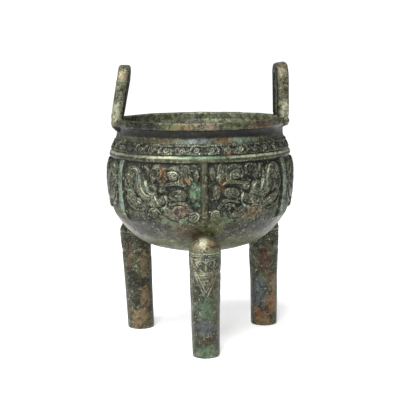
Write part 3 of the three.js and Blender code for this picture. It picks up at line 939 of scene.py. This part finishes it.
class Nodes:
    """Adds nodes to a tree. Each function takes numbers, colours or sockets and returns a socket."""

    def __init__(self, tree):
        self.tree = tree
        self.seed = 0
        coordinate = tree.nodes.new("ShaderNodeTexCoord")
        place = coordinate.outputs["Object"]
        self.place = self.add("ShaderNodeVectorMath", place, operation="SCALE", Scale=1 / MM)
        self.up = self.add("ShaderNodeSeparateXYZ", self.place, out="Z")

    def plug(self, socket, value):
        if isinstance(value, bpy.types.NodeSocket):
            self.tree.links.new(value, socket)
        else:
            socket.default_value = value

    def add(self, kind, *inputs, out=0, **settings):
        """A new node's output. Settings in lower case are the node's own, and in upper case its sockets."""
        node = self.tree.nodes.new(kind)
        for key, value in settings.items():
            if key[0].islower():
                setattr(node, key, value)
        for socket, value in zip(node.inputs, inputs):
            self.plug(socket, value)
        for key, value in settings.items():
            if key[0].isupper():
                self.plug(node.inputs[key], value)
        return node.outputs[out]

    def math(self, operation, *values, clamp=False):
        return self.add("ShaderNodeMath", *values, operation=operation, use_clamp=clamp)

    def times(self, *values):
        total = values[0]
        for value in values[1:]:
            total = self.math("MULTIPLY", total, value)
        return total

    def noise(self, size, detail=3.0, roughness=0.6, distortion=0.0):
        """Noise of about 0.5, with lumps of a size in millimetres. Each call's is another."""
        self.seed += 1
        return self.add(
            "ShaderNodeTexNoise", noise_dimensions="4D", Vector=self.place, W=7.3 * self.seed, Scale=1 / size,
            Detail=detail, Roughness=roughness, Distortion=distortion,
        )

    def step(self, value, low, high):
        return self.add("ShaderNodeMapRange", value, low, high, 0.0, 1.0, interpolation_type="SMOOTHSTEP")

    def between(self, value, low, high, soft):
        above = self.step(value, low - soft, low + soft)
        return self.times(above, self.step(value, high + soft, high - soft))

    def layer(self, name):
        return self.add("ShaderNodeAttribute", attribute_name=name, out="Fac")

    def mix(self, share, first, second):
        node = self.tree.nodes.new("ShaderNodeMix")
        node.data_type = "RGBA"
        for number, value in ((0, share), (6, first), (7, second)):
            self.plug(node.inputs[number], value)
        return node.outputs[2]

    def patch(self, at, half, ragged):
        """1 in a patch's middle to 0 outside it. Noise breaks up its edge."""
        off = self.add("ShaderNodeVectorMath", self.place, at, operation="SUBTRACT")
        off = self.add("ShaderNodeVectorMath", off, half, operation="DIVIDE")
        reach = self.add("ShaderNodeVectorMath", off, operation="LENGTH", out="Value")
        return self.step(self.math("ADD", reach, ragged), 1.25, 0.6)


# Painted zones: lowest and highest height, and how softly they end.
FRIEZE = (108.5, 158, 1)
DRAGON_BAND = (163.2, 172.6, 0.4)
# the next two are painted light: the neck's upward-facing band, and a highlight on the cordon's top
LIT_NECK = (172.8, 176.8, 0.5)
CORDON_HIGHLIGHT = (161.2, 163.0, 0.35)
# the next two are painted shadow: under the lip, and under the cordon
SHADOW_UNDER_LIP = (176.8, 183.2, 0.9)
SHADOW_UNDER_CORDON = (156.6, 157.8, 0.4)
METALLIC = 0.4
SPECULAR = 0.3
PIT_DEPTH = 0.25


def patinated_bronze():
    material = bpy.data.materials.new("patinated_bronze")
    material.use_nodes = True
    n = Nodes(material.node_tree)
    skin, inside, raised, earth = (n.layer(name) for name in ("skin", "inside", "relief", "earth"))
    flange, middle, tilt, proud = (n.layer(name) for name in ("flange", "middle", "tilt", "proud"))
    lumps, grain, fine = n.noise(11, 4), n.noise(3.2, 4), n.noise(1.1, 3)
    streaks = n.noise(5.0, 5, 0.7, 1.2)
    height = n.math("MULTIPLY_ADD", n.math("SUBTRACT", grain, 0.5), 1.4, n.up)

    # the metal: dark bronze turning olive, brown and grey-green
    colour = n.mix(n.step(lumps, 0.40, 0.62), BRONZE, OLIVE)

    def paint(tone, *masks):
        nonlocal colour
        colour = n.mix(n.times(*masks), colour, tone)

    paint(BROWN, n.step(n.noise(16, 4), 0.5, 0.66), 0.55)
    paint(STONE, n.step(n.noise(9, 5, 0.7), 0.48, 0.66), 0.65)

    # the ornament: dark plates, a green ground, pale earth in what is cut, and painted shade under each edge
    # and in the creases
    frieze, band = n.between(height, *FRIEZE), n.between(height, *DRAGON_BAND)
    ornament = n.times(skin, n.math("MAXIMUM", frieze, band))
    paint(BRONZE, ornament, n.step(raised, 0.5, 0.95), 0.8)
    ground = n.times(ornament, n.step(raised, 0.45, 0.1))
    tint = n.mix(n.times(middle, n.step(streaks, 0.3, 0.55)), STONE, MALACHITE)
    paint(tint, ground, n.step(grain, 0.30, 0.56), 0.9)
    pale = n.mix(n.step(n.noise(7, 3), 0.4, 0.6), TURQUOISE, CREAM)
    # the pale earth is real, but it is made brighter where the relief faces up: painted light
    lit = n.math("ADD", n.step(tilt, -0.25, 0.35), 0.25, clamp=True)
    # black where the relief faces down, and in the creases beside the plates: painted shade
    paint(BLACK, ornament, n.step(tilt, 0.0, -0.35), 0.95)
    paint(BLACK, ornament, n.step(proud, -0.02, -0.16), 0.9)
    paint(pale, n.step(earth, 0.3, 0.75), lit, n.step(n.noise(4.5, 4, 0.7), 0.30, 0.42))
    # pale crust on the ridges: partly wear, partly a painted highlight
    paint(CRUST, n.step(proud, 0.12, 0.3), n.step(fine, 0.42, 0.58), 0.45)

    # painted light on the neck's upward-facing lower band, and a painted highlight along the cordon's upper
    # edge
    neck = n.times(skin, n.between(height, *LIT_NECK), n.step(streaks, 0.35, 0.6), 0.7)
    colour = n.mix(neck, colour, STONE)
    paint(n.mix(middle, CREAM, MALACHITE), skin, n.between(height, *CORDON_HIGHLIGHT), 0.75)

    # flanges: pale green between the masks, dark where they are the noses
    between = n.times(flange, n.step(middle, 0.6, 0.3), n.step(grain, 0.25, 0.5), n.step(proud, -0.1, 0.02))
    colour = n.mix(between, colour, n.mix(lumps, TURQUOISE, STONE))
    paint(n.mix(streaks, BRONZE, BROWN), flange, n.step(middle, 0.4, 0.7), 0.8)

    # inside: an even grey-green crust
    paint(n.mix(n.step(grain, 0.35, 0.65), CRUST, STONE), inside, n.step(streaks, 0.25, 0.45))

    ragged = n.math("MULTIPLY", n.math("SUBTRACT", n.noise(3.6, 8, 0.8, 0.8), 0.5), 5.0)
    for at, half, tone, strength in patches():
        paint(tone, n.patch(at, half, ragged), strength)

    # fine mottling, then specks of pale crust, of bare dark metal and of rust
    paint(BLACK, n.step(n.noise(5.0, 9, 0.8), 0.48, 0.55), 0.62)
    paint(CRUST, n.step(n.noise(3.4, 9, 0.85), 0.55, 0.60), 0.7)
    paint(CREAM, n.step(n.noise(1.7, 3, 0.7), 0.60, 0.70), n.step(n.noise(14, 3), 0.42, 0.62), 0.8)
    paint(BLACK, n.step(n.noise(1.9, 4, 0.75), 0.58, 0.70), 0.75)
    paint(RUST, n.step(n.noise(2.6, 4, 0.75), 0.62, 0.72), 0.6)

    # painted shadow under the lip and under the cordon, and painted shade on the handles' inner faces
    painted_shadow = n.math("MAXIMUM", n.between(height, *SHADOW_UNDER_LIP), n.between(height, *SHADOW_UNDER_CORDON))
    paint(BLACK, skin, painted_shadow, n.step(flange, 0.6, 0.2), 0.92)
    paint(BLACK, n.layer("handle_inner_shade"), 0.75)

    matt = n.math("ADD", earth, n.times(ground, 0.7))
    crust = n.math("ADD", n.times(n.step(lumps, 0.4, 0.6), 0.5), matt, clamp=True)
    dull = n.add("ShaderNodeMapRange", n.math("ADD", crust, n.times(grain, 0.4)), 0.0, 1.4, 0.26, 0.72)
    pits = n.math("ADD", n.times(fine, 0.5), n.times(n.step(n.noise(2.4, 4, 0.7), 0.35, 0.6), 0.8))
    shader = material.node_tree.nodes["Principled BSDF"]
    n.plug(shader.inputs["Metallic"], METALLIC)
    n.plug(shader.inputs["Specular IOR Level"], SPECULAR)
    n.plug(shader.inputs["Base Color"], colour)
    n.plug(shader.inputs["Roughness"], dull)
    n.plug(shader.inputs["Normal"], n.add("ShaderNodeBump", Strength=0.5, Distance=PIT_DEPTH * MM, Height=pits))
    return material


MASK, BAND, LEG_LINES = mask_field(), band_field(), leg_field()
vessel = casting()
points, faces = to_arrays(vessel)
points = roughened(points, faces)
vessel.data.vertices.foreach_set("co", (points * MM).ravel().astype(np.float32))
vessel.data.update()
vessel.data.shade_smooth()
write_attributes(vessel, points, faces)
vessel.data.materials.clear()
vessel.data.materials.append(patinated_bronze())
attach(vessel, "root")
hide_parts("vessel")


# ---------------------------------------------------------------- camera, light and floor
CAMERA_DISTANCE = 935.4
CAMERA_AZIMUTH = -2.5
CAMERA_ELEVATION = 8.06
CAMERA_TARGET_Z = 120.4
AIM_BELOW = 2.5
AIM_LEFT = 0.45
CAMERA_ROLL = -0.7
LENS = 98.2


def make_camera():
    data = bpy.data.cameras.new("camera")
    data.lens = LENS
    data.sensor_width = 36
    camera = bpy.data.objects.new("camera", data)
    bpy.context.scene.collection.objects.link(camera)
    azimuth, elevation = math.radians(CAMERA_AZIMUTH), math.radians(CAMERA_ELEVATION)
    flat = math.cos(elevation)
    direction = Vector((math.sin(azimuth) * flat, -math.cos(azimuth) * flat, math.sin(elevation)))
    camera.location = (Vector((0, 0, CAMERA_TARGET_Z)) + direction * CAMERA_DISTANCE) * MM
    aim = Vector((-AIM_LEFT, 0, CAMERA_TARGET_Z - AIM_BELOW)) * MM
    look = (aim - camera.location).to_track_quat("-Z", "Y").to_matrix()
    camera.rotation_euler = (look @ Matrix.Rotation(math.radians(CAMERA_ROLL), 3, "Z")).to_euler()
    bpy.context.scene.camera = camera


LIGHT_AIM = (0, 0, 0.12)


def area_light(name, place, size, power):
    data = bpy.data.lights.new(name, "AREA")
    data.shape = "RECTANGLE"
    data.size, data.size_y = size
    data.energy = power
    light = bpy.data.objects.new(name, data)
    bpy.context.scene.collection.objects.link(light)
    light.location = place
    light.rotation_euler = (Vector(LIGHT_AIM) - Vector(place)).to_track_quat("-Z", "Y").to_euler()


WORLD_LIGHT = 0.3
WORLD_SEEN = 1.1
PAPER_COLOUR = (0.9, 0.9, 0.9, 1)
PAPER_GLOW = 0.5  # keeps the paper white to its edge
FLOOR_HALF = 1500
LIGHTS = (  # name, place, size, power
    ("top", (-0.3, -0.5, 1.3), (0.7, 0.7), 28),
    ("front", (-0.3, -1.3, 0.8), (0.4, 0.4), 15),
    ("left", (-1.2, -0.6, 0.5), (0.6, 1.0), 3),
)


def make_studio():
    world = bpy.data.worlds.new("studio")
    world.use_nodes = True
    nodes, links = world.node_tree.nodes, world.node_tree.links
    # white behind the object, and dimmer as a light
    path = nodes.new("ShaderNodeLightPath")
    strength = nodes.new("ShaderNodeMapRange")
    strength.inputs["To Min"].default_value = WORLD_LIGHT
    strength.inputs["To Max"].default_value = WORLD_SEEN
    links.new(path.outputs["Is Camera Ray"], strength.inputs["Value"])
    links.new(strength.outputs["Result"], nodes["Background"].inputs["Strength"])
    nodes["Background"].inputs["Color"].default_value = (1, 1, 1, 1)
    bpy.context.scene.world = world
    bpy.context.scene.view_settings.view_transform = "Standard"
    corners = np.array([[-1, -1, 0], [1, -1, 0], [1, 1, 0], [-1, 1, 0]], float)
    floor = to_object("floor", FLOOR_HALF * corners, np.array([[0, 1, 2], [0, 2, 3]]))
    paper = bpy.data.materials.new("paper")
    paper.use_nodes = True
    shader = paper.node_tree.nodes["Principled BSDF"]
    shader.inputs["Base Color"].default_value = PAPER_COLOUR
    shader.inputs["Roughness"].default_value = 0.9
    shader.inputs["Emission Color"].default_value = (1, 1, 1, 1)
    shader.inputs["Emission Strength"].default_value = PAPER_GLOW
    floor.data.materials.append(paper)
    for each in LIGHTS:
        area_light(*each)


make_camera()
make_studio()
